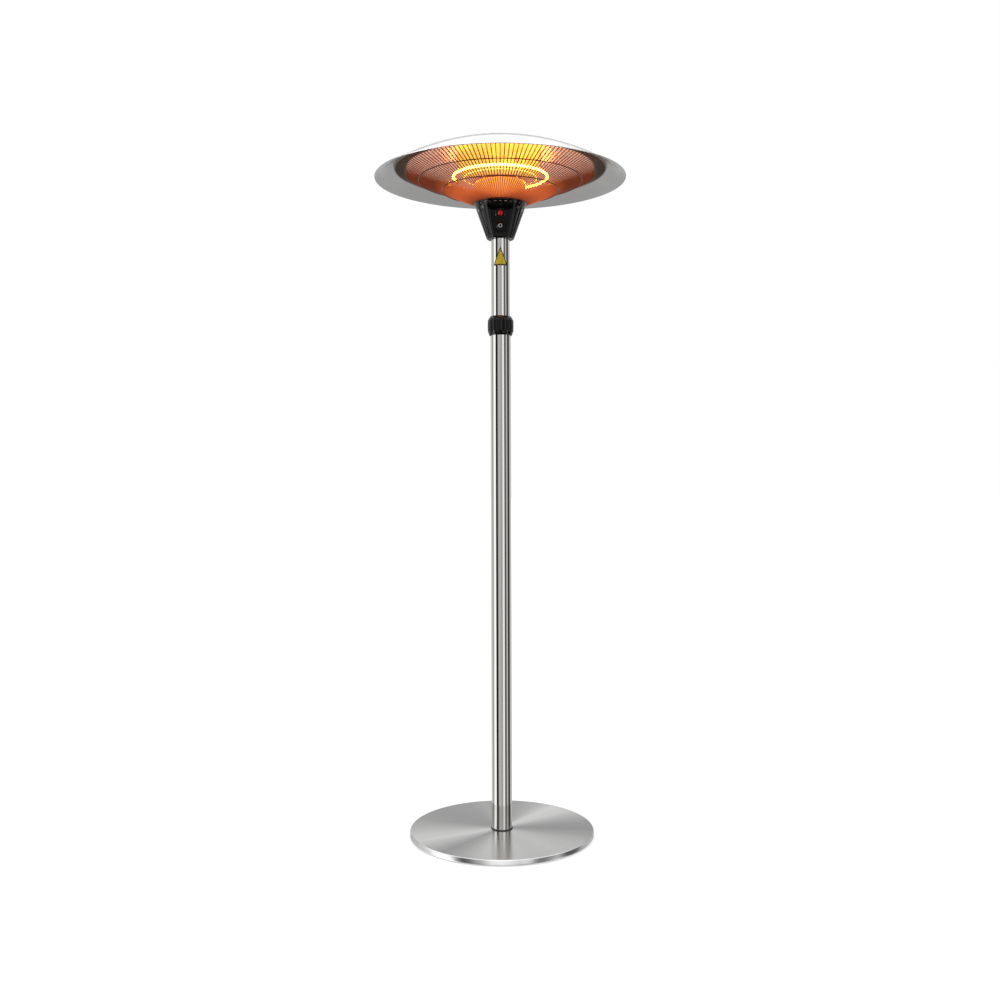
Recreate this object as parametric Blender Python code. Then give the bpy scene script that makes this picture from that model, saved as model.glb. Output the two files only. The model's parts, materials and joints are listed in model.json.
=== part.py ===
"""Outdoor heater: a round hood with a ring-shaped lamp, on a telescopic mast and a round base.

Metres, +Z up. The origin is on the floor under the mast, and the control panel faces -Y.
Everything turned shares the mast's axis, so the slide, the swivel and the collar all move on it.
"""

import math

import bmesh
import bpy

GAP = 0.0003

# Base
BASE_RADIUS = 0.2190
BASE_TOP = 0.0145
PAD_HEIGHT = 0.0030
PAD_COUNT = 6
PAD_RADIUS = 0.0120
PAD_CIRCLE = 0.1950
SHEET = 0.0012

# Mast
LOWER_TUBE_RADIUS = 0.0243
UPPER_TUBE_RADIUS = 0.0222
TUBE_WALL = 0.0012
LOWER_TUBE_TOP = 1.2220
UPPER_TUBE_FOOT = 0.7200
GLAND_HEIGHT = 0.0550

# Collar
COLLAR_FOOT = 1.1940
COLLAR_TOP = 1.2400
COLLAR_RADIUS = 0.0300
COLLAR_GRIPS = 12

# Housing, a truncated cone with a flat front panel
HOUSING_FOOT = 1.4240
HOUSING_TOP = 1.5025
HOUSING_FOOT_RADIUS = 0.0322
HOUSING_TOP_RADIUS = 0.0605
HOUSING_WALL = 0.0026
PANEL_HALF_ANGLE = math.radians(32)
BUTTON_HEIGHT = 1.4507
LENS_HEIGHT = 1.4782

# Head, above the housing
PLATE_RADIUS = 0.0600
COLUMN_TOP = 1.5590
COLUMN_RADIUS = 0.0612
ROD_CIRCLE = 0.0450
ROD_RADIUS = 0.0020
ROD_COUNT = 3
LAMP_RADIUS = 0.1125
LAMP_TUBE_RADIUS = 0.0045
LAMP_HEIGHT = 1.5733
LAMP_START = math.radians(-103)
LAMP_END = math.radians(190)
REFLECTOR_RADIUS = 0.2460
REFLECTOR_RIM = 1.5925
REFLECTOR_CROWN = 1.6180
GUARD_RADIUS = 0.2510
GUARD_RIM = 1.5895
GUARD_FOOT_RADIUS = 0.0622
GUARD_FOOT = 1.5085
GUARD_WIRES = 30
HOOD_RADIUS = 0.3000
HOOD_RIM = 1.5667
HOOD_BRIM = 0.2985
HOOD_CROWN = 1.6542

CONE_SLOPE = math.atan2(HOUSING_TOP_RADIUS - HOUSING_FOOT_RADIUS, HOUSING_TOP - HOUSING_FOOT)


def clear_scene():
    for thing in list(bpy.data.objects):
        bpy.data.objects.remove(thing, do_unlink=True)


def make_look(name, color, roughness, metallic=0.0):
    look = bpy.data.materials.new(name)
    look.use_nodes = True
    shader = look.node_tree.nodes["Principled BSDF"]
    shader.inputs["Base Color"].default_value = (*color, 1.0)
    shader.inputs["Roughness"].default_value = roughness
    shader.inputs["Metallic"].default_value = metallic
    return look


def add_empty(name, location=(0, 0, 0), rotation=(0, 0, 0)):
    empty = bpy.data.objects.new(name, None)
    empty.location = location
    empty.rotation_euler = rotation
    bpy.context.scene.collection.objects.link(empty)
    return empty


def add_object(name, mesh, look, parent=None, location=(0, 0, 0), rotation=(0, 0, 0)):
    """Turns a bmesh into a smooth-shaded object with its faces pointing out."""
    bmesh.ops.remove_doubles(mesh, verts=mesh.verts, dist=1e-6)
    bmesh.ops.recalc_face_normals(mesh, faces=mesh.faces)
    data = bpy.data.meshes.new(name)
    mesh.to_mesh(data)
    mesh.free()
    data.shade_smooth()
    data.set_sharp_from_angle(angle=math.radians(35))
    if look:
        data.materials.append(look)
    thing = bpy.data.objects.new(name, data)
    thing.location = location
    thing.rotation_euler = rotation
    thing.parent = parent
    bpy.context.scene.collection.objects.link(thing)
    return thing


def add_turned(name, profile, look, steps=28, **place):
    """Spins a closed outline of (radius, height) points a full turn about local Z."""
    mesh = bmesh.new()
    points = [mesh.verts.new((radius, 0, height)) for radius, height in profile]
    edges = [mesh.edges.new((points[i - 1], points[i])) for i in range(len(points))]
    axis_edges = [e for e in edges if all(v.co.x < 1e-6 for v in e.verts)]
    bmesh.ops.spin(
        mesh,
        geom=points + [e for e in edges if e not in axis_edges],
        axis=(0, 0, 1),
        angle=math.tau,
        steps=steps,
        use_merge=True,
    )
    for edge in axis_edges:
        if edge.is_valid and edge.is_wire:
            mesh.edges.remove(edge)
    return add_object(name, mesh, look, **place)


def add_rod(name, radius, low, high, look, steps=12, **place):
    return add_turned(name, [(0, low), (radius, low), (radius, high), (0, high)], look, steps, **place)


def add_ring(name, inner, outer, low, high, look, steps=28, **place):
    profile = [(inner, low), (outer, low), (outer, high), (inner, high)]
    return add_turned(name, profile, look, steps, **place)


def add_box(name, size, look, edge=0.0, **place):
    mesh = bmesh.new()
    bmesh.ops.create_cube(mesh, size=1.0)
    bmesh.ops.scale(mesh, vec=size, verts=mesh.verts)
    if edge:
        bmesh.ops.bevel(
            mesh, geom=mesh.edges, offset=edge, affect="EDGES", segments=1, profile=0.5, material=-1
        )
    return add_object(name, mesh, look, **place)


def add_loft(name, sections, look, looped=False, capped=True, **place):
    """Skins a row of closed sections, each a list of points in the same order."""
    mesh = bmesh.new()
    rows = [[mesh.verts.new(point) for point in section] for section in sections]
    pairs = list(zip(rows, rows[1:]))
    if looped:
        pairs.append((rows[-1], rows[0]))
    for near, far in pairs:
        for i in range(len(near)):
            mesh.faces.new((near[i - 1], near[i], far[i], far[i - 1]))
    if capped and not looped:
        mesh.faces.new(rows[0])
        mesh.faces.new(rows[-1])
    return add_object(name, mesh, look, **place)


def cut(target, cutter):
    """Subtracts a hidden helper object from the target."""
    cutter.hide_render = True
    cutter.display_type = "WIRE"
    hole = target.modifiers.new(cutter.name, "BOOLEAN")
    hole.operation = "DIFFERENCE"
    hole.solver = "EXACT"
    hole.object = cutter


def around(angle, radius, height=0.0):
    """A point at an angle from the front, measured towards +X."""
    return (radius * math.sin(angle), -radius * math.cos(angle), height)


def spread(count, start=0.0):
    return [start + math.tau * i / count for i in range(count)]


def circle(centre_radius, height, radius, angle, points):
    """A round section, standing across a ring of centre_radius at the given angle."""
    turns = spread(points)
    return [
        around(angle, centre_radius + radius * math.cos(turn), height + radius * math.sin(turn))
        for turn in turns
    ]


STEEL = make_look("stainless_steel", (0.62, 0.61, 0.60), 0.16, 1.0)
BRUSHED = make_look("brushed_steel", (0.66, 0.66, 0.65), 0.30, 1.0)
ALUMINIUM = make_look("painted_aluminium", (0.72, 0.72, 0.71), 0.35, 0.8)
MIRROR = make_look("polished_aluminium", (0.85, 0.84, 0.82), 0.12, 1.0)
IRON = make_look("cast_steel", (0.16, 0.16, 0.17), 0.55, 0.7)
ZINC = make_look("zinc_plated_steel", (0.55, 0.55, 0.54), 0.35, 1.0)
CHROME = make_look("chromed_wire", (0.50, 0.47, 0.45), 0.22, 1.0)
BLACK = make_look("black_plastic", (0.012, 0.012, 0.013), 0.30)
RUBBER = make_look("rubber", (0.03, 0.03, 0.03), 0.75)
NYLON = make_look("white_nylon", (0.75, 0.74, 0.70), 0.45)
CERAMIC = make_look("ceramic", (0.85, 0.83, 0.78), 0.55)
QUARTZ = make_look("quartz_glass", (1.0, 0.93, 0.70), 0.05)
TUNGSTEN = make_look("tungsten", (1.0, 0.75, 0.30), 0.40, 1.0)
RED = make_look("red_lens", (0.65, 0.02, 0.03), 0.10)
YELLOW = make_look("yellow_label", (0.85, 0.66, 0.05), 0.45)
BOARD = make_look("circuit_board", (0.03, 0.20, 0.08), 0.50)
RELAY_BLUE = make_look("relay_blue", (0.05, 0.16, 0.42), 0.40)


def make_base(body):
    ballast_low = PAD_HEIGHT + GAP
    ballast_high = BASE_TOP - SHEET - GAP
    washer_low = ballast_low + 0.0006
    washer_high = washer_low + 0.0020
    skirt_inner = BASE_RADIUS - SHEET
    bolt_circle = 0.0160

    cover = add_turned(
        "base_cover",
        [
            (0.0, BASE_TOP - SHEET),
            (skirt_inner, BASE_TOP - SHEET),
            (skirt_inner, PAD_HEIGHT),
            (BASE_RADIUS, PAD_HEIGHT),
            (BASE_RADIUS, BASE_TOP - 0.0012),
            (BASE_RADIUS - 0.0012, BASE_TOP),
            (0.0, BASE_TOP),
        ],
        BRUSHED,
        steps=56,
        parent=body,
    )
    ballast = add_turned(
        "base_ballast",
        [
            (0.0, washer_high + GAP),
            (0.0235, washer_high + GAP),
            (0.0235, ballast_low),
            (skirt_inner - 0.0012, ballast_low),
            (skirt_inner - 0.0012, ballast_high),
            (0.0, ballast_high),
        ],
        IRON,
        steps=40,
        parent=body,
    )
    for i, angle in enumerate(spread(PAD_COUNT, math.tau / 12), 1):
        where = around(angle, PAD_CIRCLE)
        profile = [
            (0, 0),
            (PAD_RADIUS - 0.0008, 0),
            (PAD_RADIUS, 0.0008),
            (PAD_RADIUS, PAD_HEIGHT),
            (0, PAD_HEIGHT),
        ]
        add_turned(f"foot_pad_{i}", profile, RUBBER, 16, parent=body, location=where)

    washer = add_rod("clamp_washer", 0.0230, washer_low, washer_high, ZINC, 24, parent=body)
    foot_radius = LOWER_TUBE_RADIUS - TUBE_WALL - GAP
    foot_low = BASE_TOP + GAP
    foot = add_ring("mast_foot", 0.0090, foot_radius, foot_low, 0.0400, ZINC, 24, parent=body)
    for i, angle in enumerate(spread(3), 1):
        where = around(angle, bolt_circle)
        shank_low = washer_low - GAP
        profile = [
            (0, 0.0006),
            (0.0045, 0.0006),
            (0.0045, shank_low),
            (0.0025, shank_low),
            (0.0025, 0.0300),
            (0, 0.0300),
        ]
        add_turned(f"base_bolt_{i}", profile, ZINC, 12, parent=body, location=where)
        hole = add_rod(f"bolt_hole_{i}", 0.0028, -0.01, 0.0305, None, 12, location=where)
        for piece in (cover, ballast, washer, foot):
            cut(piece, hole)

    add_turned(
        "mast_trim_ring",
        [
            (LOWER_TUBE_RADIUS + GAP, foot_low),
            (0.0278, foot_low),
            (0.0278, foot_low + 0.0020),
            (0.0262, foot_low + 0.0042),
            (LOWER_TUBE_RADIUS + GAP, foot_low + 0.0042),
        ],
        RUBBER,
        parent=body,
    )


def make_lower_mast(body):
    tube_inner = LOWER_TUBE_RADIUS - TUBE_WALL
    tube = add_ring(
        "lower_tube", tube_inner, LOWER_TUBE_RADIUS, BASE_TOP + GAP, LOWER_TUBE_TOP, STEEL, 32, parent=body
    )
    face_back = (math.radians(-90), 0, 0)
    middle = (0, 0, GLAND_HEIGHT)
    bore = 0.0042
    outside = LOWER_TUBE_RADIUS + GAP
    hole = add_rod("gland_hole", 0.0060, 0.0150, 0.0300, None, 20, location=middle, rotation=face_back)
    cut(tube, hole)
    add_turned(
        "cable_gland",
        [
            (bore, 0.0205),
            (0.0056, 0.0205),
            (0.0056, outside),
            (0.0085, outside),
            (0.0085, outside + 0.0026),
            (bore, outside + 0.0026),
        ],
        BLACK,
        24,
        parent=body,
        location=middle,
        rotation=face_back,
    )
    nut_low = outside + 0.0029
    profile = [
        (bore, nut_low),
        (0.0078, nut_low),
        (0.0078, nut_low + 0.0050),
        (0.0062, nut_low + 0.0080),
        (bore, nut_low + 0.0080),
    ]
    add_turned("gland_nut", profile, BLACK, 24, parent=body, location=middle, rotation=face_back)

    sleeve_radius = LOWER_TUBE_RADIUS + GAP
    sleeve_foot = COLLAR_FOOT + 0.0030
    sleeve = (sleeve_radius, sleeve_radius + 0.0010, sleeve_foot, LOWER_TUBE_TOP)
    add_ring("collar_sleeve", *sleeve, BLACK, parent=body)
    add_turned(
        "collar_collet",
        [
            (UPPER_TUBE_RADIUS + GAP, LOWER_TUBE_TOP + GAP),
            (0.0256, LOWER_TUBE_TOP + GAP),
            (0.0256, LOWER_TUBE_TOP + 0.0050),
            (0.0240, LOWER_TUBE_TOP + 0.0080),
            (UPPER_TUBE_RADIUS + GAP, LOWER_TUBE_TOP + 0.0080),
        ],
        NYLON,
        parent=body,
    )


def make_collar(body):
    """The clamp ring: a barrel with rounded grips, which closes on both tubes."""
    bore = 0.0262
    height = COLLAR_TOP - COLLAR_FOOT
    per_grip = 4
    grip = 0.0012

    def section(angle):
        swell = grip * max(0.0, math.cos(COLLAR_GRIPS * angle)) - grip / 2
        wide = COLLAR_RADIUS + swell
        return [
            (bore, COLLAR_FOOT),
            (bore + 0.0016, COLLAR_FOOT),
            (COLLAR_RADIUS - 0.0012, COLLAR_FOOT + 0.10 * height),
            (wide, COLLAR_FOOT + 0.18 * height),
            (wide + 0.0006, COLLAR_FOOT + 0.50 * height),
            (wide, COLLAR_FOOT + 0.80 * height),
            (COLLAR_RADIUS - 0.0016, COLLAR_FOOT + 0.86 * height),
            (UPPER_TUBE_RADIUS + 0.0022, COLLAR_TOP),
            (UPPER_TUBE_RADIUS + GAP, COLLAR_TOP),
            (UPPER_TUBE_RADIUS + GAP, COLLAR_TOP - 0.0050),
            (bore, COLLAR_TOP - 0.0090),
        ]

    turns = spread(COLLAR_GRIPS * per_grip)
    sections = [[around(turn, radius, z) for radius, z in section(turn)] for turn in turns]
    add_loft("collar_ring", sections, BLACK, looped=True, parent=body)


def make_carriage(body):
    """A nylon bush at the foot of the upper tube, which slides in the lower tube."""
    outer = LOWER_TUBE_RADIUS - TUBE_WALL - GAP
    spigot = UPPER_TUBE_RADIUS - TUBE_WALL - GAP
    add_turned(
        "glide_bush",
        [
            (0.0160, UPPER_TUBE_FOOT - 0.0200),
            (outer, UPPER_TUBE_FOOT - 0.0200),
            (outer, UPPER_TUBE_FOOT - GAP),
            (spigot, UPPER_TUBE_FOOT - GAP),
            (spigot, UPPER_TUBE_FOOT + 0.0250),
            (0.0160, UPPER_TUBE_FOOT + 0.0250),
        ],
        NYLON,
        parent=body,
    )


def make_upper_mast(body):
    tube_top = HOUSING_FOOT + 0.0140
    inner = UPPER_TUBE_RADIUS - TUBE_WALL
    add_ring("upper_tube", inner, UPPER_TUBE_RADIUS, UPPER_TUBE_FOOT, tube_top, STEEL, 32, parent=body)

    low, high = 1.3586, 1.4030
    half_angle = math.radians(45)
    rows, columns = 6, 10
    skin = (UPPER_TUBE_RADIUS + GAP, UPPER_TUBE_RADIUS + GAP + 0.0004)
    sections = []
    for row in range(rows + 1):
        share = row / rows
        reach = half_angle * (1 - 0.98 * share)
        z = low + (high - low) * share
        turns = [reach * (2 * i / columns - 1) for i in range(columns + 1)]
        inner = [around(turn, skin[0], z) for turn in turns]
        outer = [around(turn, skin[1], z) for turn in reversed(turns)]
        sections.append(inner + outer)
    add_loft("heat_label", sections, YELLOW, parent=body)

    floor_top = HOUSING_FOOT + HOUSING_WALL + GAP
    socket = add_turned(
        "mast_socket",
        [
            (UPPER_TUBE_RADIUS + GAP, floor_top),
            (0.0258, floor_top),
            (0.0258, floor_top + 0.0020),
            (0.0248, floor_top + 0.0020),
            (0.0248, tube_top + 0.0020),
            (0.0190, tube_top + 0.0020),
            (0.0190, tube_top + GAP),
            (UPPER_TUBE_RADIUS + GAP, tube_top + GAP),
        ],
        ZINC,
        parent=body,
    )
    face_back = (math.radians(-90), 0, 0)
    where = (0, 0, HOUSING_FOOT + 0.0090)
    hole = add_rod("socket_hole", 0.0023, 0.0180, 0.0300, None, 12, location=where, rotation=face_back)
    cut(socket, hole)
    profile = [
        (0, 0.0228),
        (0.0020, 0.0228),
        (0.0020, 0.0255),
        (0.0030, 0.0255),
        (0.0030, 0.0272),
        (0, 0.0272),
    ]
    add_turned("socket_screw", profile, ZINC, 12, parent=body, location=where, rotation=face_back)


def housing_radius(height):
    share = (height - HOUSING_FOOT) / (HOUSING_TOP - HOUSING_FOOT)
    return HOUSING_FOOT_RADIUS + share * (HOUSING_TOP_RADIUS - HOUSING_FOOT_RADIUS)


def make_housing(body):
    """Two halves of a cone-shaped shell with a floor, and screws that stand square to its slope."""
    bore = UPPER_TUBE_RADIUS + GAP + 0.0004
    wall = HOUSING_WALL / math.cos(CONE_SLOPE)

    def section(angle):
        foot = HOUSING_FOOT_RADIUS
        top = HOUSING_TOP_RADIUS
        floor = HOUSING_FOOT + HOUSING_WALL
        outline = [
            (bore, HOUSING_FOOT),
            (foot - 0.0015, HOUSING_FOOT),
            (housing_radius(HOUSING_FOOT + 0.0030), HOUSING_FOOT + 0.0030),
            (top, HOUSING_TOP),
            (top - wall, HOUSING_TOP),
            (housing_radius(floor) - wall, floor),
            (bore, floor),
        ]
        return [around(angle, radius, z) for radius, z in outline]

    flat = PANEL_HALF_ANGLE
    seam = math.pi / 2
    side = [flat + (seam - flat) * i / 6 for i in range(7)]
    # Between the two middle stations the front is one flat facet: the control panel.
    front_turns = [-turn for turn in reversed(side)] + side
    front = add_loft("housing_front", [section(turn) for turn in front_turns], BLACK, parent=body)
    gap_turn = 2 * GAP / HOUSING_FOOT_RADIUS
    back_turns = [math.pi / 2 + gap_turn + (math.pi - 2 * gap_turn) * i / 16 for i in range(17)]
    rear = add_loft("housing_rear", [section(turn) for turn in back_turns], BLACK, parent=body)

    low, high = HOUSING_FOOT - 0.0050, HOUSING_FOOT + 0.0050
    bore_cutter = add_rod("mast_hole", bore + 0.0003, low, high, None, 40)
    cut(front, bore_cutter)

    screw_height = 1.4890
    tilt = math.radians(90) + CONE_SLOPE
    screw_turns = [math.radians(turn) for turn in (-66, 66, 114, -114)]
    for i, turn in enumerate(screw_turns, 1):
        where = around(turn, housing_radius(screw_height), screw_height)
        place = {"location": where, "rotation": (tilt, 0, turn)}
        profile = [
            (0, -0.0070),
            (0.0018, -0.0070),
            (0.0018, 0.0004),
            (0.0034, 0.0004),
            (0.0034, 0.0018),
            (0, 0.0022),
        ]
        add_turned(f"housing_screw_{i}", profile, ZINC, 12, parent=body, **place)
        hole = add_rod(f"screw_hole_{i}", 0.0021, -0.0100, 0.0060, None, 12, **place)
        cut(front if abs(turn) < math.pi / 2 else rear, hole)
    return front


def make_panel(body, button_body, front):
    """Round pieces set square into the sloping front panel; local Z points out of it."""
    flat = math.cos(PANEL_HALF_ANGLE)
    tilt = math.radians(90) + math.atan(flat * math.tan(CONE_SLOPE))
    spots = {}
    for name, height in (("lens", LENS_HEIGHT), ("button", BUTTON_HEIGHT)):
        spots[name] = {"location": (0, -flat * housing_radius(height), height), "rotation": (tilt, 0, 0)}

    cut(front, add_rod("lens_hole", 0.0103, -0.0080, 0.0060, None, 28, **spots["lens"]))
    bezel = [
        (0.0067, -0.0045),
        (0.0100, -0.0045),
        (0.0100, 0.0003),
        (0.0124, 0.0003),
        (0.0124, 0.0012),
        (0.0108, 0.0024),
        (0.0067, 0.0024),
    ]
    add_turned("indicator_bezel", bezel, BLACK, 28, parent=body, **spots["lens"])
    lens = [
        (0, -0.0045),
        (0.0064, -0.0045),
        (0.0064, 0.0022),
        (0.0052, 0.0042),
        (0.0030, 0.0052),
        (0, 0.0056),
    ]
    add_turned("indicator_lens", lens, RED, 20, parent=body, **spots["lens"])

    cut(front, add_rod("button_hole", 0.0088, -0.0080, 0.0060, None, 24, **spots["button"]))
    bezel = [
        (0.0055, -0.0045),
        (0.0085, -0.0045),
        (0.0085, 0.0003),
        (0.0106, 0.0003),
        (0.0106, 0.0010),
        (0.0096, 0.0018),
        (0.0055, 0.0006),
    ]
    add_turned("button_bezel", bezel, BLACK, 24, parent=body, **spots["button"])
    button = [
        (0, -0.0055),
        (0.0052, -0.0055),
        (0.0052, 0.0034),
        (0.0044, 0.0042),
        (0.0022, 0.0042),
        (0.0018, 0.0034),
        (0, 0.0034),
    ]
    add_turned("power_button", button, ZINC, 20, parent=button_body, **spots["button"])
    switch = add_empty("switch_place", **spots["button"])
    switch.parent = body
    size = (0.0110, 0.0100, 0.0070)
    add_box("button_switch", size, BLACK, 0.0008, parent=switch, location=(0, 0, -0.0127))


def make_controls(body):
    board_y = 0.0060
    add_box("control_board", (0.0420, 0.0016, 0.0320), BOARD, parent=body, location=(0, board_y, 1.4780))
    behind = board_y + 0.0008 + GAP
    ahead = board_y - 0.0008 - GAP
    level = 1.4800
    parts = (
        ("relay", (0.0150, 0.0110, 0.0180), RELAY_BLUE, -0.0110, behind + 0.0055),
        ("terminal_block", (0.0160, 0.0100, 0.0120), NYLON, 0.0110, behind + 0.0050),
        ("tip_switch", (0.0120, 0.0080, 0.0160), RUBBER, 0.0120, ahead - 0.0040),
    )
    for name, size, look, x, y in parts:
        add_box(name, size, look, 0.0008, parent=body, location=(x, y, level))


def make_head_frame(body):
    """Plate, column and tie rods, which carry the reflector and the hood."""
    plate_low = HOUSING_TOP + GAP
    plate_high = plate_low + 0.0015
    plate = add_ring("head_plate", 0.0100, PLATE_RADIUS, plate_low, plate_high, ZINC, 32, parent=body)
    column_foot = 0.0545
    column = add_turned(
        "column",
        [
            (0, COLUMN_TOP),
            (COLUMN_RADIUS - 0.0015, COLUMN_TOP),
            (COLUMN_RADIUS, COLUMN_TOP - 0.0015),
            (column_foot, plate_high + GAP),
            (column_foot - SHEET, plate_high + GAP),
            (COLUMN_RADIUS - SHEET - 0.0004, COLUMN_TOP - SHEET),
            (0, COLUMN_TOP - SHEET),
        ],
        MIRROR,
        36,
        parent=body,
    )
    ring_low = plate_high + GAP
    ring_high = ring_low + 0.0016
    add_ring("guard_clamp_ring", column_foot + 0.0013, 0.0640, ring_low, ring_high, ZINC, 32, parent=body)
    return plate, column


def hood_curve(radius):
    """Height of the inner face inside the hood's brim: a shallow dome."""
    rise = HOOD_CROWN - (HOOD_RIM + 0.0006)
    ball = (HOOD_BRIM**2 + rise**2) / (2 * rise)
    return HOOD_CROWN - ball + math.sqrt(ball**2 - radius**2)


def make_hood(body):
    stations = [HOOD_BRIM * i / 8 for i in range(8, -1, -1)]
    inner = [(radius, hood_curve(radius)) for radius in stations]
    outer = [(radius, z + SHEET) for radius, z in reversed(inner)]
    lip = [(HOOD_RADIUS, HOOD_RIM + SHEET), (HOOD_RADIUS, HOOD_RIM), (HOOD_RADIUS - 0.0010, HOOD_RIM)]
    return add_turned("hood", inner + outer + lip, ALUMINIUM, 48, parent=body)


def make_reflector(body):
    under = [
        (REFLECTOR_RADIUS, REFLECTOR_RIM),
        (0.2270, REFLECTOR_RIM + 0.0010),
        (0.1900, REFLECTOR_RIM + 0.0105),
        (0.1200, REFLECTOR_RIM + 0.0215),
        (0.0600, REFLECTOR_CROWN),
        (0, REFLECTOR_CROWN),
    ]
    over = [(radius, z + 0.0010) for radius, z in reversed(under)]
    reflector = add_turned("reflector", under + over, MIRROR, 40, parent=body)
    shield_low = REFLECTOR_CROWN + 0.0070
    shield = add_rod("heat_shield", 0.0850, shield_low, shield_low + SHEET, ZINC, 28, parent=body)
    return reflector, shield


def make_tie_rods(body, plates):
    for i, turn in enumerate(spread(ROD_COUNT, math.pi / 3), 1):
        x, y, _ = around(turn, ROD_CIRCLE)
        crown = hood_curve(ROD_CIRCLE) + SHEET
        profile = [
            (0, 1.4990),
            (0.0040, 1.4990),
            (0.0040, HOUSING_TOP - GAP),
            (ROD_RADIUS, HOUSING_TOP - GAP),
            (ROD_RADIUS, crown + 0.0050),
            (0, crown + 0.0050),
        ]
        add_turned(f"tie_rod_{i}", profile, ZINC, 12, parent=body, location=(x, y, 0))
        nut = [
            (0, crown + 0.0055),
            (ROD_RADIUS + GAP, crown + 0.0055),
            (ROD_RADIUS + GAP, crown + GAP + 0.0004),
            (0.0058, crown + GAP + 0.0004),
            (0.0058, crown + 0.0045),
            (0.0036, crown + 0.0080),
            (0, crown + 0.0090),
        ]
        add_turned(f"cap_nut_{i}", nut, ZINC, 12, parent=body, location=(x, y, 0))
        hole = add_rod(f"rod_hole_{i}", ROD_RADIUS + GAP, 1.4950, 1.6800, None, 12, location=(x, y, 0))
        for plate in plates:
            cut(plate, hole)


def make_guard(body):
    """A cone of flat wires and rings, cut as one sheet and then given its thickness."""
    ring = 0.0016
    wire = 0.0011
    run = GUARD_RADIUS - GUARD_FOOT_RADIUS
    ring_radii = [GUARD_FOOT_RADIUS + ring, 0.1400, 0.1954, GUARD_RADIUS]
    radii = [edge for radius in ring_radii for edge in (radius - ring, radius + ring)]
    mesh = bmesh.new()
    rows = []
    for radius in radii:
        z = GUARD_FOOT + (GUARD_RIM - GUARD_FOOT) * (radius - GUARD_FOOT_RADIUS) / run
        rows.append([])
        for turn in spread(GUARD_WIRES):
            for side in (-wire, wire):
                rows[-1].append(mesh.verts.new(around(turn + side / radius, radius, z)))
    for row in range(len(rows) - 1):
        near, far = rows[row], rows[row + 1]
        on_ring = row % 2 == 0
        for i in range(len(near)):
            if on_ring or i % 2 == 1:
                mesh.faces.new((near[i - 1], near[i], far[i], far[i - 1]))
    guard = add_object("guard", mesh, CHROME, parent=body)
    thick = guard.modifiers.new("wire thickness", "SOLIDIFY")
    thick.thickness = 0.0020
    thick.offset = 0.0


def make_lamp(body):
    pieces = 32
    turns = [LAMP_START + (LAMP_END - LAMP_START) * i / pieces for i in range(pieces + 1)]
    tube = add_loft(
        "lamp_tube",
        [circle(LAMP_RADIUS, LAMP_HEIGHT, LAMP_TUBE_RADIUS, turn, 10) for turn in turns],
        QUARTZ,
        capped=False,
        parent=body,
    )
    glass = tube.modifiers.new("glass wall", "SOLIDIFY")
    glass.thickness = 0.0010
    glass.offset = -1.0
    margin = math.radians(2)
    first, last = LAMP_START + margin, LAMP_END - margin
    turns = [first + (last - first) * i / pieces for i in range(pieces + 1)]
    wire = [circle(LAMP_RADIUS, LAMP_HEIGHT, 0.0012, turn, 5) for turn in turns]
    add_loft("filament", wire, TUNGSTEN, parent=body)
    step = GAP / LAMP_RADIUS
    for i, (start, way) in enumerate(((LAMP_START, -1), (LAMP_END, 1)), 1):
        turns = [start + way * (step + math.radians(3.5) * k) for k in range(4)]
        sections = [circle(LAMP_RADIUS, LAMP_HEIGHT, 0.0070, turn, 12) for turn in turns]
        add_loft(f"lamp_end_{i}", sections, CERAMIC, parent=body)
    clip_low = LAMP_HEIGHT + LAMP_TUBE_RADIUS + GAP
    clip_high = REFLECTOR_CROWN - 0.0044
    for i, turn in enumerate((math.radians(-60), math.radians(55), math.radians(150)), 1):
        where = around(turn, LAMP_RADIUS, (clip_low + clip_high) / 2)
        size = (0.0030, 0.0060, clip_high - clip_low)
        add_box(f"lamp_clip_{i}", size, ZINC, parent=body, location=where, rotation=(0, 0, turn))


def make_heater():
    clear_scene()
    base = add_empty("base_body")
    collar = add_empty("collar_body")
    carriage = add_empty("carriage_body")
    head = add_empty("head_body")
    button = add_empty("button_body")
    make_base(base)
    make_lower_mast(base)
    make_collar(collar)
    make_carriage(carriage)
    make_upper_mast(head)
    front = make_housing(head)
    make_panel(head, button, front)
    make_controls(head)
    plate, column = make_head_frame(head)
    reflector, shield = make_reflector(head)
    hood = make_hood(head)
    make_tie_rods(head, (plate, column, reflector, shield, hood))
    make_guard(head)
    make_lamp(head)


make_heater()
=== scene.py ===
import json
import math

import bmesh
import bpy
from mathutils import Matrix, Vector

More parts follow.
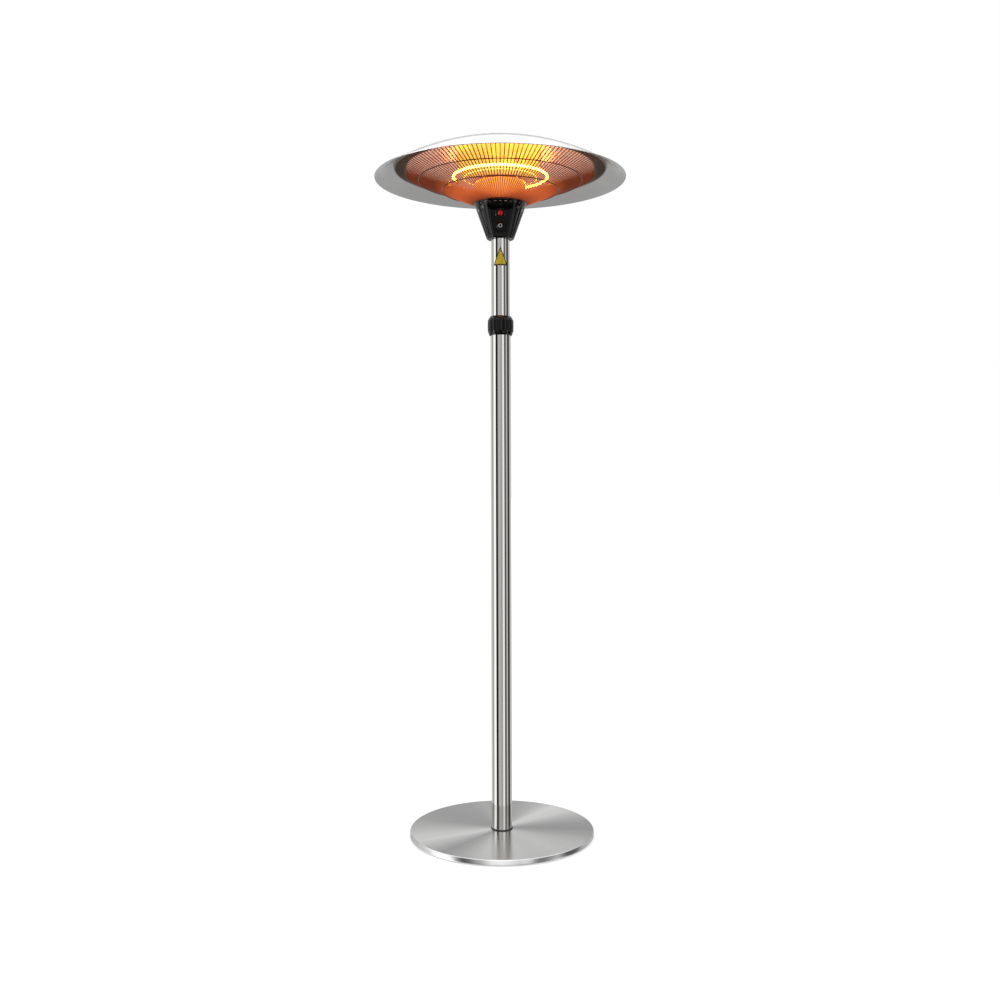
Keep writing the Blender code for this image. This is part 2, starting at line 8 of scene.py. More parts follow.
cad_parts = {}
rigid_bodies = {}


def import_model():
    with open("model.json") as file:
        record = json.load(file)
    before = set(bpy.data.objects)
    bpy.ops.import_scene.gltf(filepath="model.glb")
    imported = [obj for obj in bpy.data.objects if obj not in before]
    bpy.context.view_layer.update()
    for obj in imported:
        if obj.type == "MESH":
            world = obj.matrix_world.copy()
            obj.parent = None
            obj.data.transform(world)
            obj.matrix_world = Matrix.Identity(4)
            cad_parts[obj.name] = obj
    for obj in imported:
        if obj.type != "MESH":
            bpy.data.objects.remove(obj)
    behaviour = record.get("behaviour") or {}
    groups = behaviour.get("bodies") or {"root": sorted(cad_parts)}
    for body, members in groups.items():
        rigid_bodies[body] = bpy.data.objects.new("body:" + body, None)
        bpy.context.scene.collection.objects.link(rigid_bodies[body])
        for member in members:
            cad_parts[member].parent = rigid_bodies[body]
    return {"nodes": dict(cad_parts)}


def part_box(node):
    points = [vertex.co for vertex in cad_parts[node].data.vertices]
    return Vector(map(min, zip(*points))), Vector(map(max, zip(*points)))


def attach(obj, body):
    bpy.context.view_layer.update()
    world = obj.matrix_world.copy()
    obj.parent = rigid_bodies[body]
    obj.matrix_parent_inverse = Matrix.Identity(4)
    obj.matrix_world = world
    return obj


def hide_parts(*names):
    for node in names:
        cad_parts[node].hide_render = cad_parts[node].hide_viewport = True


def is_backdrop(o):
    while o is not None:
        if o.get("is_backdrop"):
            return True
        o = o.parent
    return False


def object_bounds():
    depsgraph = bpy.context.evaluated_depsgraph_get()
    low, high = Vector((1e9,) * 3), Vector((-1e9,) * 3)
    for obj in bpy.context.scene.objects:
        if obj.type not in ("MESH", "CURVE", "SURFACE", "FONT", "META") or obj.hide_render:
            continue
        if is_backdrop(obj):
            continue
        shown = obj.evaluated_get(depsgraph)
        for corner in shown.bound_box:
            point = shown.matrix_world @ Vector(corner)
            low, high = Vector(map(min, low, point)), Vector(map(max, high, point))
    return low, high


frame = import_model()
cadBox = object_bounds()
nodes = frame["nodes"]
sceneObjects = bpy.context.scene.collection.objects
print("frame loaded:", len(nodes), "nodes")


# helpers that make, place and cut meshes

def around(angle, radius, height=0.0):
    # a point at an angle from the front, turning towards +X
    return Vector((radius * math.sin(angle), -radius * math.cos(angle), height))


def finishMesh(name, mesh, finish, body, replaced=(), smoothAngle=35):
    bmesh.ops.remove_doubles(mesh, verts=mesh.verts, dist=2e-6)
    bmesh.ops.recalc_face_normals(mesh, faces=mesh.faces)
    data = bpy.data.meshes.new(name)
    mesh.to_mesh(data)
    mesh.free()
    return placePiece(name, data, finish, body, replaced, smoothAngle)


def placePiece(name, data, finish, body, replaced=(), smoothAngle=35):
    data.shade_smooth()
    data.set_sharp_from_angle(angle=math.radians(smoothAngle))
    data.materials.clear()
    data.materials.append(finish)
    piece = bpy.data.objects.new(name, data)
    sceneObjects.link(piece)
    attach(piece, body)
    if replaced:
        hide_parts(*replaced)
    return piece


def turnedMesh(outline, steps, closed=True):
    # spins a closed outline of (radius, height) points about Z
    mesh = bmesh.new()
    points = [mesh.verts.new((radius, 0, height)) for radius, height in outline]
    pairs = list(zip(points, points[1:]))
    if closed:
        pairs.append((points[-1], points[0]))
    edges = [mesh.edges.new(pair) for pair in pairs if max(pair[0].co.x, pair[1].co.x) > 1e-6]
    bmesh.ops.spin(
        mesh, geom=points + edges, axis=(0, 0, 1), cent=(0, 0, 0), angle=math.tau, steps=steps, use_merge=True
    )
    return mesh


def rounded(outline, size, segments=3):
    # rounds each corner of a closed outline by an arc of points
    result = []
    for i, (x, y) in enumerate(outline):
        corner = Vector((x, y))
        before = Vector(outline[i - 1]) - corner
        after = Vector(outline[(i + 1) % len(outline)]) - corner
        reach = min(size, before.length * 0.45, after.length * 0.45)
        if x < 1e-6 or reach < 1e-6:
            result.append((x, y))
            continue
        start = corner + before.normalized() * reach
        end = corner + after.normalized() * reach
        if before.length > 8 * reach:  # holds the shading of a long side flat
            result.append(tuple(corner + before.normalized() * 2 * reach))
        for k in range(segments + 1):
            t = k / segments
            point = start.lerp(corner, t).lerp(corner.lerp(end, t), t)
            result.append((point.x, point.y))
        if after.length > 8 * reach:
            result.append(tuple(corner + after.normalized() * 2 * reach))
    return result


def standAt(mesh, place):
    bmesh.ops.transform(mesh, matrix=place, verts=mesh.verts)


def facing(location, direction, up=(0, 0, 1)):
    # a place whose local Z points along direction and whose local Y leans to up
    z = Vector(direction).normalized()
    x = Vector(up).cross(z).normalized()
    y = z.cross(x)
    place = Matrix((x, y, z)).transposed().to_4x4()
    place.translation = Vector(location)
    return place


def cutWith(piece, cutterMesh):
    # takes the cutter's solid out of the piece, and leaves no modifier behind
    bmesh.ops.recalc_face_normals(cutterMesh, faces=cutterMesh.faces)
    data = bpy.data.meshes.new("cutter")
    cutterMesh.to_mesh(data)
    cutterMesh.free()
    cutter = bpy.data.objects.new("cutter", data)
    sceneObjects.link(cutter)
    hole = piece.modifiers.new("hole", "BOOLEAN")
    hole.operation = "DIFFERENCE"
    hole.solver = "EXACT"
    hole.object = cutter
    bpy.context.view_layer.update()
    result = bpy.data.meshes.new_from_object(piece.evaluated_get(bpy.context.evaluated_depsgraph_get()))
    piece.modifiers.clear()
    old = piece.data
    piece.data = result
    result.name = old.name
    bpy.data.objects.remove(cutter)
    bpy.data.meshes.remove(data)
    return piece


# helpers that build the node trees of the finishes

class Value:
    # one socket of a finish, with arithmetic that adds Math nodes
    def __init__(self, finish, socket):
        self.finish = finish
        self.socket = socket

    def maths(self, operation, *parts):
        return self.finish.node("ShaderNodeMath", {"operation": operation}, dict(enumerate(parts)))

    def __add__(self, other):
        return self.maths("ADD", self, other)

    __radd__ = __add__

    def __sub__(self, other):
        return self.maths("SUBTRACT", self, other)

    def __mul__(self, other):
        return self.maths("MULTIPLY", self, other)

    __rmul__ = __mul__

    def __truediv__(self, other):
        return self.maths("DIVIDE", self, other)

    def __pow__(self, other):
        return self.maths("POWER", self, other)

    def __abs__(self):
        return self.maths("ABSOLUTE", self)


class Finish:
    def __init__(self, name, isWorld=False):
        self.material = (bpy.data.worlds if isWorld else bpy.data.materials).new(name)
        self.material.use_nodes = True
        self.tree = self.material.node_tree
        self.shader = self.tree.nodes["Background" if isWorld else "Principled BSDF"]
        self.position = self.node("ShaderNodeTexCoord", out="Generated" if isWorld else "Object")

    def node(self, kind, settings=None, values=None, out=0):
        made = self.tree.nodes.new(kind)
        for key, value in (settings or {}).items():
            if key == "stops":
                ramp = made.color_ramp
                while len(ramp.elements) < len(value):
                    ramp.elements.new(0.5)
                for element, (place, color) in zip(ramp.elements, value):
                    element.position = place
                    element.color = color if len(color) == 4 else (*color, 1)
            else:
                setattr(made, key, value)
        for key, value in (values or {}).items():
            self.feed(made.inputs[key], value)
        return Value(self, made.outputs[out])

    def feed(self, socket, value):
        if isinstance(value, Value):
            self.tree.links.new(value.socket, socket)
        elif hasattr(value, "__len__") and len(value) == 3 and socket.type == "RGBA":
            socket.default_value = (*value, 1)
        else:
            socket.default_value = value

    def axis(self, name):
        return self.node("ShaderNodeSeparateXYZ", values={0: self.position}, out=name)

    def noise(self, scale, detail=3.0, stretch=(1, 1, 1), roughness=0.55):
        moved = self.node("ShaderNodeMapping", values={"Vector": self.position, "Scale": stretch})
        values = {"Vector": moved, "Scale": scale, "Detail": detail, "Roughness": roughness}
        return self.node("ShaderNodeTexNoise", values=values, out="Fac")

    def between(self, factor, first, second):
        return self.node("ShaderNodeMix", {"data_type": "RGBA"}, {0: factor, 6: first, 7: second}, out=2)

    def step(self, value, start, end):
        # 0 at start, 1 at end, straight between
        return self.node("ShaderNodeMapRange", values={"Value": value, "From Min": start, "From Max": end})

    def window(self, value, low, high, soft):
        return self.step(value, low - soft, low + soft) * self.step(value, high + soft, high - soft)

    def greyRamp(self, share, levels):
        # grey levels by angle in degrees, from -180 to 180
        return self.ramp(share, [((degrees + 180) / 360, (level, level, level)) for degrees, level in levels])

    def ramp(self, factor, stops):
        return self.node("ShaderNodeValToRGB", {"stops": stops}, {"Fac": factor}, out="Color")

    def bump(self, height, strength, distance):
        values = {"Height": height, "Strength": strength, "Distance": distance}
        return self.node("ShaderNodeBump", values=values, out="Normal")

    def set(self, **values):
        names = {
            "color": "Base Color",
            "roughness": "Roughness",
            "metallic": "Metallic",
            "normal": "Normal",
            "glow": "Emission Color",
            "glowStrength": "Emission Strength",
            "anisotropy": "Anisotropic",
            "specular": "Specular IOR Level",
        }
        for key, value in values.items():
            self.feed(self.shader.inputs[names[key]], value)
        return self.material


# the finishes
guardWires = 144

def polarLines(finish, scale, wander=0.6):
    # fine rings about the mast, as a lathe or a turning brush leaves them
    x, y, z = finish.axis("X"), finish.axis("Y"), finish.axis("Z")
    radius = (x * x + y * y) ** 0.5
    turn = x.maths("ARCTAN2", x, y)
    values = {"X": radius * scale, "Y": turn * wander, "Z": z * scale}
    rings = finish.node("ShaderNodeCombineXYZ", values=values)
    values = {"Vector": rings, "Scale": 1.0, "Detail": 4.0, "Roughness": 0.7}
    lines = finish.node("ShaderNodeTexNoise", values=values, out="Fac")
    return radius, turn, lines


def brushedBase(edge):
    # the turned brushing's light is painted on: painted highlight wedges round the top under real brushing
    # lines, and painted glints that glow on the polished rim
    finish = Finish("brushedBase")
    radius, turn, lines = polarLines(finish, 900.0)
    cloud = finish.noise(14.0, 4.0)
    share = turn / math.tau + 0.5
    # grey levels of the painted highlight wedges, by angle round the disc
    wedges = [
        (-180, 0.84), (-166, 0.76), (-150, 0.50), (-141, 0.42), (-129, 0.66), (-116, 0.93), (-104, 0.84),
        (-88, 0.62), (-70, 0.42), (-46, 0.38), (-26, 0.40), (-14, 0.48), (-4, 0.42), (12, 0.42),
        (26, 0.58), (38, 0.92), (50, 0.88), (64, 0.60), (78, 0.41), (92, 0.37), (104, 0.48),
        (120, 0.68), (140, 0.78), (160, 0.74), (180, 0.84),
    ]
    paintedSheen = finish.ramp(share, [((degrees + 180) / 360, (v, v, 0.99 * v)) for degrees, v in wedges])
    # painted glints on the rim, glowing by angle round it
    paintedGlints = [
        (-180, 0.60), (-174, 0.50), (-168, 0.12), (-156, 0.06), (-150, 0.22), (-140, 0.40), (-128, 0.36),
        (-116, 0.04), (150, 0.05), (162, 0.12), (170, 0.14), (175, 0.50), (180, 0.60),
    ]
    paintedRimGlints = finish.greyRamp(share, paintedGlints)
    rim = finish.step(radius, edge - 0.0015, edge - 0.0007)
    # real brushing lines laid over the painted highlight
    brushLinesAndSheen = finish.between(lines, paintedSheen, finish.between(0.2, paintedSheen, (0.30, 0.30, 0.30)))
    finish.set(
        color=finish.between(rim, brushLinesAndSheen, (0.52, 0.52, 0.52)),
        metallic=1.0,
        roughness=0.13 + lines * 0.08 + cloud * 0.04,
        anisotropy=0.5,
        normal=finish.bump(lines, 0.08, 0.0003),
        glow=finish.between(rim, (0.0, 0.0, 0.0), paintedRimGlints),
        glowStrength=1.0,
    )
    return finish.material


def polishedTube():
    finish = Finish("polishedTube")
    grain = finish.noise(900.0, 2.0, (1, 1, 0.012))
    smear = finish.noise(9.0, 3.0)
    finish.set(
        color=finish.between(grain, (0.66, 0.645, 0.625), (0.72, 0.705, 0.685)),
        metallic=1.0,
        roughness=0.045 + grain * 0.03 + smear * 0.02,
        normal=finish.bump(grain, 0.03, 0.0002),
    )
    return finish.material


def hoodAluminium():
    finish = Finish("hoodAluminium")
    lines = polarLines(finish, 420.0)[2]
    cloud = finish.noise(7.0, 3.0)
    finish.set(
        color=finish.between(lines, (0.70, 0.70, 0.70), (0.77, 0.77, 0.765)),
        metallic=0.95,
        roughness=0.20 + lines * 0.06 + cloud * 0.04,
        anisotropy=0.35,
        normal=finish.bump(lines, 0.05, 0.0003),
    )
    return finish.material


def reflectorAluminium(glowRadius):
    # polished sheet with the lamp's light painted on as glow: a painted yellow band from front to back,
    # painted salmon on both sides, a dim painted red patch behind the column, and a painted dark ring past
    # glowRadius
    finish = Finish("reflectorAluminium")
    polar = polarLines(finish, 500.0)
    radius, lines = polar[0], polar[2]
    hammer = finish.noise(160.0, 2.0)
    patches = finish.noise(30.0, 3.0)
    # past glowRadius the sheet is painted dark, with no glow: painted shade of the gap under the hood
    outer = finish.step(radius, glowRadius - 0.001, glowRadius + 0.001)
    across = abs(finish.axis("X"))
    back = finish.axis("Y")
    # a painted yellow glow from front to back, where the lamp's reflection shows
    paintedYellowBand = finish.step(across, 0.104, 0.092) * finish.step(back, 0.128, 0.112)
    # a dim painted red glow and darker tint behind the column
    red = finish.step(across, 0.080, 0.045) * finish.window(back, 0.120, 0.170, 0.006)
    # the sheet is tinted salmon and glows salmon on both sides: painted lamp light
    sheet = finish.between(lines, (0.66, 0.50, 0.43), (0.76, 0.60, 0.52))
    paintedGlowColour = finish.between(patches, (0.46, 0.22, 0.16), (0.56, 0.30, 0.22))
    yellow = finish.between(patches, (0.92, 0.48, 0.030), (1.0, 0.62, 0.060))
    paintedGlowColour = finish.between(red, finish.between(paintedYellowBand, paintedGlowColour, yellow), (0.50, 0.045, 0.004))
    tint = finish.between(red, finish.between(paintedYellowBand, sheet, (0.60, 0.42, 0.20)), (0.30, 0.08, 0.04))
    finish.set(
        color=finish.between(outer, tint, (0.24, 0.19, 0.155)),
        metallic=1.0,
        roughness=0.36 + lines * 0.1 + outer * 0.1,
        normal=finish.bump(hammer, 0.10, 0.0006),
        glow=finish.between(outer, paintedGlowColour, (0.0, 0.0, 0.0)),
        glowStrength=0.85,
    )
    return finish.material


def columnAluminium(low, high):
    # polished sheet with the lamp's reflected light painted on as glow, yellow at the top and red at the
    # foot, with painted stripes for the guard wires' reflections
    finish = Finish("columnAluminium")
    grain = finish.noise(500.0, 2.0, (1, 1, 0.02))
    flecks = finish.noise(420.0, 3.0, (1, 1, 0.08))
    turn = polarLines(finish, 300.0)[1]
    # painted stripes, one per guard wire, standing for the wires' reflections
    wires = turn.maths("SINE", turn * guardWires) * 0.5 + 0.5
    share = finish.step(finish.axis("Z"), low, high)
    stops = [
        (0.0, (0.84, 0.12, 0.024)),
        (0.35, (0.96, 0.22, 0.026)),
        (0.7, (1.0, 0.37, 0.045)),
        (1.0, (1.0, 0.50, 0.065)),
    ]
    paintedColumnGlow = finish.ramp(share, stops)
    finish.set(
        color=finish.between(grain, (0.26, 0.12, 0.07), (0.32, 0.16, 0.10)),
        metallic=1.0,
        roughness=0.16 + grain * 0.08,
        normal=finish.bump(grain, 0.04, 0.0003),
        glow=finish.between(wires * 0.35 * share + flecks * 0.22, paintedColumnGlow, (0.50, 0.06, 0.010)),
        glowStrength=1.15,
    )
    return finish.material


def guardSteel(name, dark, light, glow):
    # blued wire with the lamp's light behind it painted on as glow, strongest near the lamp, and its outer
    # ends painted lighter as a highlight
    finish = Finish(name)
    radius = polarLines(finish, 200.0)[0]
    # painted lamp glow, strongest near the lamp and dim out to the reflector's edge
    near = finish.window(radius, 0.070, 0.135, 0.025)
    dimPaintedGlow = finish.window(radius, 0.070, 0.225, 0.006)
    flecks = finish.noise(300.0, 2.0)
    far = tuple(0.25 * part for part in glow)
    # the outer ends are painted lighter: a painted highlight where outside light falls on them
    paintedLitEnds = finish.step(radius, 0.222, 0.228)
    finish.set(
        color=finish.between(paintedLitEnds, finish.between(flecks, dark, light), (0.26, 0.215, 0.18)),
        metallic=1.0,
        roughness=0.25 + flecks * 0.1,
        glow=finish.between(near, finish.between(dimPaintedGlow, (0.0, 0.0, 0.0), far), glow),
        glowStrength=1.0,
    )
    return finish.material


def blackPlastic():
    finish = Finish("blackPlastic")
    pores = finish.noise(1800.0, 2.0)
    smear = finish.noise(38.0, 4.0)
    finish.set(
        color=finish.between(smear, (0.0022, 0.0020, 0.0020), (0.0060, 0.0055, 0.0050)),
        roughness=0.102 + smear * 0.072,
        specular=0.30,
        normal=finish.bump(pores, 0.06, 0.0002),
    )
    return finish.material


def plainMetal(name, dark, light, roughness, scale=700.0):
    finish = Finish(name)
    grain = finish.noise(scale, 3.0)
    smear = finish.noise(60.0, 3.0)
    finish.set(
        color=finish.between(smear, dark, light),
        metallic=1.0,
        roughness=roughness + grain * 0.12,
        normal=finish.bump(grain, 0.08, 0.0002),
    )
    return finish.material


def plainMoulding(name, dark, light, roughness, bumpStrength=0.1, **more):
    finish = Finish(name)
    grain = finish.noise(1200.0, 3.0)
    smear = finish.noise(50.0, 3.0)
    finish.set(
        color=finish.between(smear, dark, light),
        roughness=roughness + smear * 0.12,
        normal=finish.bump(grain, bumpStrength, 0.0003),
        **more,
    )
    return finish.material


def glowingTube(name, color, strength):
    finish = Finish(name)
    waver = finish.noise(60.0, 2.0)
    finish.set(
        color=(0.9, 0.75, 0.45),
        roughness=0.12,
        glow=finish.between(waver, color, tuple(0.88 * part for part in color)),
        glowStrength=strength,
    )
    return finish.material


lampLight = {"color": (1.0, 0.36, 0.045), "strength": 29.0, "wire": 36.0}

baseFinish = brushedBase(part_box("base_cover")[1].x)
tubeFinish = polishedTube()
hoodFinish = hoodAluminium()
columnFinish = columnAluminium(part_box("column")[0].z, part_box("column")[1].z)
plasticFinish = blackPlastic()
zincFinish = plainMetal("zincPlate", (0.50, 0.50, 0.49), (0.66, 0.66, 0.64), 0.24)
ironFinish = plainMetal("castSteel", (0.10, 0.10, 0.105), (0.17, 0.17, 0.175), 0.48, 260.0)
wireFinish = guardSteel("guardWire", (0.055, 0.032, 0.026), (0.085, 0.048, 0.038), (0.50, 0.085, 0.022))
# the hoops take a darker copy of the wire finish and a dimmer glow: painted shade, so they read as dark arcs
hoopFinish = guardSteel("guardHoop", (0.030, 0.018, 0.014), (0.045, 0.028, 0.022), (0.060, 0.010, 0.003))
buttonFinish = plainMetal("buttonMetal", (0.62, 0.62, 0.61), (0.74, 0.74, 0.73), 0.16)
rubberFinish = plainMoulding("rubber", (0.012, 0.012, 0.012), (0.03, 0.03, 0.03), 0.62, 0.25)
nylonFinish = plainMoulding("nylon", (0.66, 0.65, 0.61), (0.78, 0.77, 0.73), 0.40)
ceramicFinish = plainMoulding("ceramic", (0.70, 0.67, 0.60), (0.85, 0.82, 0.76), 0.55, 0.3)
boardFinish = plainMoulding("circuitBoard", (0.02, 0.15, 0.06), (0.04, 0.24, 0.10), 0.42, 0.15)
relayFinish = plainMoulding("relayCase", (0.03, 0.12, 0.34), (0.06, 0.18, 0.46), 0.34)
lensGlow = {"glow": (1.0, 0.02, 0.02), "glowStrength": 0.10}
lensFinish = plainMoulding("redLens", (0.34, 0.005, 0.008), (0.50, 0.010, 0.014), 0.08, 0.02, **lensGlow)
yellowFinish = plainMoulding("labelYellow", (0.74, 0.56, 0.014), (0.82, 0.64, 0.03), 0.36, 0.02)
blackInkFinish = plainMoulding("labelBlack", (0.008, 0.007, 0.005), (0.02, 0.018, 0.012), 0.4, 0.05)
lampFinish = glowingTube("glowingQuartz", lampLight["color"], lampLight["strength"])
# the bead's glow is a painted highlight of the lamp's light, not a lamp
haloFinish = glowingTube("litBead", (1.0, 0.72, 0.12), 1.6)
filamentFinish = glowingTube("glowingTungsten", lampLight["color"], lampLight["wire"])
print("finishes made")


# the base: a steel disc on six pads

baseDisc = {"sheet": 0.0012, "edge": 0.0022, "steps": 192}


def makeBaseCover():
    low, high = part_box("base_cover")
    sheet = baseDisc["sheet"]
    radius = high.x
    outline = [
        (0, high.z - sheet),
        (radius - sheet, high.z - sheet),
        (radius - sheet, low.z),
        (radius, low.z),
        (radius, high.z),
        (0, high.z),
    ]
    mesh = turnedMesh(rounded(outline, baseDisc["edge"], 5), baseDisc["steps"])
    return finishMesh("baseCover", mesh, baseFinish, "base", ["base_cover"])


def makeTrimRing():
    low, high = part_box("mast_trim_ring")
    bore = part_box("lower_tube")[1].x + 0.0003
    wide = bore + 0.0012
    outline = [(bore, low.z), (wide, low.z), (wide, low.z + 0.0018), (bore, low.z + 0.0018)]
    mesh = turnedMesh(rounded(outline, 0.0004, 2), 96)
    return finishMesh("mastTrim", mesh, rubberFinish, "base", ["mast_trim_ring"])


def makeFootPad(index):
    node = f"foot_pad_{index}"
    low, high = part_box(node)
    middle = (low + high) / 2
    radius = (high.x - low.x) / 2
    height = high.z - low.z
    groove = 0.0006
    outline = [(0, 0), (radius * 0.55, 0), (radius * 0.60, groove), (radius * 0.68, groove)]
    outline += [(radius * 0.73, 0), (radius, 0), (radius, height), (0, height)]
    mesh = turnedMesh(rounded(outline, 0.0005, 2), 40)
    standAt(mesh, Matrix.Translation((middle.x, middle.y, low.z)))
    return finishMesh(f"footPad{index}", mesh, rubberFinish, "base", [node])


makeBaseCover()
makeTrimRing()
for index in range(1, 7):
    makeFootPad(index)
print("base made")


# the mast: two tubes and the cable gland

mast = {"wall": 0.0012, "edge": 0.0004, "steps": 128, "glandHole": 0.0060}


def makeTube(name, node, body):
    low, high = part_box(node)
    wall = mast["wall"]
    outline = [(high.x - wall, low.z), (high.x, low.z), (high.x, high.z), (high.x - wall, high.z)]
    mesh = turnedMesh(rounded(outline, mast["edge"], 2), mast["steps"])
    return finishMesh(name, mesh, tubeFinish, body, [node])


def makeGland():
    low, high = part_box("cable_gland")
    middle = (low + high) / 2
    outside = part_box("lower_tube")[1].x + 0.0003
    bore = 0.0042
    outline = [(bore, low.y), (0.0056, low.y), (0.0056, outside)]
    outline += [(0.0085, outside), (0.0085, high.y), (bore, high.y)]
    mesh = turnedMesh(rounded(outline, 0.0006, 3), 48)
    place = facing((0, 0, middle.z), (0, 1, 0))
    standAt(mesh, place)
    finishMesh("cableGland", mesh, plasticFinish, "base", ["cable_gland"])
    low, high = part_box("gland_nut")
    outline = [(bore, low.y), (0.0078, low.y), (0.0078, low.y + 0.0052), (0.0062, high.y), (bore, high.y)]
    mesh = turnedMesh(rounded(outline, 0.0008, 3), 96)
    for vert in mesh.verts:
        reach = math.hypot(vert.co.x, vert.co.y)
        if reach > 0.0060:
            turn = math.atan2(vert.co.y, vert.co.x)
            flute = 1 - 0.045 * (0.5 + 0.5 * math.cos(turn * 12))
            vert.co.x *= flute
            vert.co.y *= flute
    standAt(mesh, place)
    finishMesh("glandNut", mesh, plasticFinish, "base", ["gland_nut"])
    return middle.z


lowerTube = makeTube("lowerTube", "lower_tube", "base")
makeTube("upperTube", "upper_tube", "head")
glandHeight = makeGland()
glandHole = bmesh.new()
bmesh.ops.create_cone(
    glandHole, cap_ends=True, segments=40, radius1=mast["glandHole"], radius2=mast["glandHole"], depth=0.016
)
standAt(glandHole, facing((0, 0.0235, glandHeight), (0, 1, 0)))
cutWith(lowerTube, glandHole)
print("mast made")


# the clamp collar

collar = {"grips": 12, "gripDepth": 0.0013, "steps": 192, "edge": 0.0009}


def makeCollar():
    low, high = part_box("collar_ring")
    height = high.z - low.z
    wide = 0.0306
    lowerBore, upperBore = 0.0262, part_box("upper_tube")[1].x + 0.0003

    def level(share):
        return low.z + share * height

    outline = [
        (lowerBore, level(0)),
        (lowerBore + 0.0012, level(0)),
        (wide - 0.0022, level(0.07)),
        (wide - 0.0012, level(0.15)),
        (wide, level(0.20)),
        (wide + 0.0003, level(0.35)),
        (wide + 0.0005, level(0.50)),
        (wide + 0.0003, level(0.65)),
        (wide, level(0.78)),
        (wide - 0.0014, level(0.83)),
        (wide - 0.0024, level(0.88)),
        (upperBore + 0.0030, level(0.965)),
        (upperBore + 0.0016, level(1)),
        (upperBore, level(1)),
        (upperBore, level(0.89)),
        (lowerBore, level(0.80)),
    ]
    mesh = turnedMesh(rounded(outline, collar["edge"], 3), collar["steps"])
    for vert in mesh.verts:
        reach = math.hypot(vert.co.x, vert.co.y)
        share = (vert.co.z - low.z) / height
        if reach > 0.0285 and 0.12 < share < 0.86:
            turn = math.atan2(vert.co.x, -vert.co.y)
            lobe = abs(math.cos(turn * collar["grips"] / 2)) ** 0.6
            fade = min(1.0, (share - 0.12) / 0.08, (0.86 - share) / 0.08)
            smaller = 1 - collar["gripDepth"] * (1 - lobe) * 1.9 * fade / reach
            vert.co.x *= smaller
            vert.co.y *= smaller
    return finishMesh("collarRing", mesh, plasticFinish, "collar", ["collar_ring"], 40)


makeCollar()
print("collar made")


# the control housing: two halves with flutes and a flat panel

housing = {
    "wall": 0.0026,
    "panelHalf": math.radians(32),
    "panelSink": 0.0007,
    "firstRidge": math.radians(38.4),
    "fluteStep": math.radians(12.9),
    "fluteDepth": 0.0015,
    "steps": 150,
    "lensHeight": 1.4782,
    "lensHole": 0.0103,
    "buttonHeight": 1.4507,
    "buttonHole": 0.0088,
    "screwHeight": 1.4890,
}
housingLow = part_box("housing_front")[0].z
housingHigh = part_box("housing_front")[1].z
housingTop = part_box("housing_front")[1].x
housingFoot = 0.0322
slope = math.atan2(housingTop - housingFoot, housingHigh - housingLow)


def housingRadius(height):
    return housingFoot + (height - housingLow) / (housingHigh - housingLow) * (housingTop - housingFoot)


def shapeHousing(mesh):
    # flattens the control panel and presses the flutes into the rest of the cone
    half = housing["panelHalf"]
    for vert in mesh.verts:
        reach = math.hypot(vert.co.x, vert.co.y)
        if reach < 0.0262:
            continue
        turn = abs(math.atan2(vert.co.x, -vert.co.y))
        outer = reach > housingRadius(vert.co.z) - housing["wall"] * 0.6
        share = (vert.co.z - housingLow) / (housingHigh - housingLow)
        fade = max(0.0, min(1.0, share / 0.10, (0.94 - share) / 0.06))
        if turn < half:
            flat = reach * math.cos(half) / math.cos(turn)
            new = reach + (flat - reach) * max(0.0, min(1.0, (0.985 - share) / 0.16))
            border = min(1.0, (half - turn) / math.radians(3.0))
            new -= housing["panelSink"] * border * fade * outer
        elif outer and turn > housing["firstRidge"]:
            wave = math.sin(math.pi * (turn - housing["firstRidge"]) / housing["fluteStep"])
            new = reach - housing["fluteDepth"] * fade * abs(wave) ** 0.8
        else:
            new = reach
        vert.co.x *= new / reach
        vert.co.y *= new / reach


def makeHousingHalf(name, node, isFront):
    wall = housing["wall"]
    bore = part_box("upper_tube")[1].x + 0.0007
    side = wall / math.cos(slope)
    floor = housingLow + wall
    outline = [
        (bore, housingLow),
        (housingFoot, housingLow),
        (housingTop, housingHigh),
        (housingTop - side, housingHigh),
        (housingRadius(floor) - side, floor),
        (bore, floor),
    ]
    outline = rounded(outline, 0.0024, 4)
    fine = []
    for i, point in enumerate(outline):
        # the long walls get extra levels, so that the flutes can fade in
        before = Vector(outline[i - 1])
        count = max(1, int((Vector(point) - before).length / 0.004))
        fine += [tuple(before.lerp(Vector(point), k / count)) for k in range(1, count + 1)]
    mesh = bmesh.new()
    start = math.pi if isFront else 0.0
    gap = 0.0030
    points = [mesh.verts.new((radius, 0, height)) for radius, height in fine]
    face = mesh.faces.new(points)
    bmesh.ops.rotate(mesh, verts=mesh.verts, matrix=Matrix.Rotation(start + gap, 3, "Z"), cent=(0, 0, 0))
    bmesh.ops.spin(
        mesh,
        geom=[face, *face.edges, *face.verts],
        axis=(0, 0, 1),
        cent=(0, 0, 0),
        angle=math.pi - 2 * gap,
        steps=housing["steps"],
        use_merge=False,
    )
    shapeHousing(mesh)
    return finishMesh(name, mesh, plasticFinish, "head", [node], 50)


def drill(piece, place, radius, depth=0.024):
    hole = bmesh.new()
    bmesh.ops.create_cone(hole, cap_ends=True, segments=48, radius1=radius, radius2=radius, depth=depth)
    standAt(hole, place)
    cutWith(piece, hole)


def panelPlace(height):
    flat = math.cos(housing["panelHalf"])
    tilt = math.atan(flat * math.tan(slope))
    spot = (0, -flat * housingRadius(height), height)
    return facing(spot, (0, -math.cos(tilt), -math.sin(tilt)))


def middleOf(node):
    low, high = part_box(node)
    return (low + high) / 2


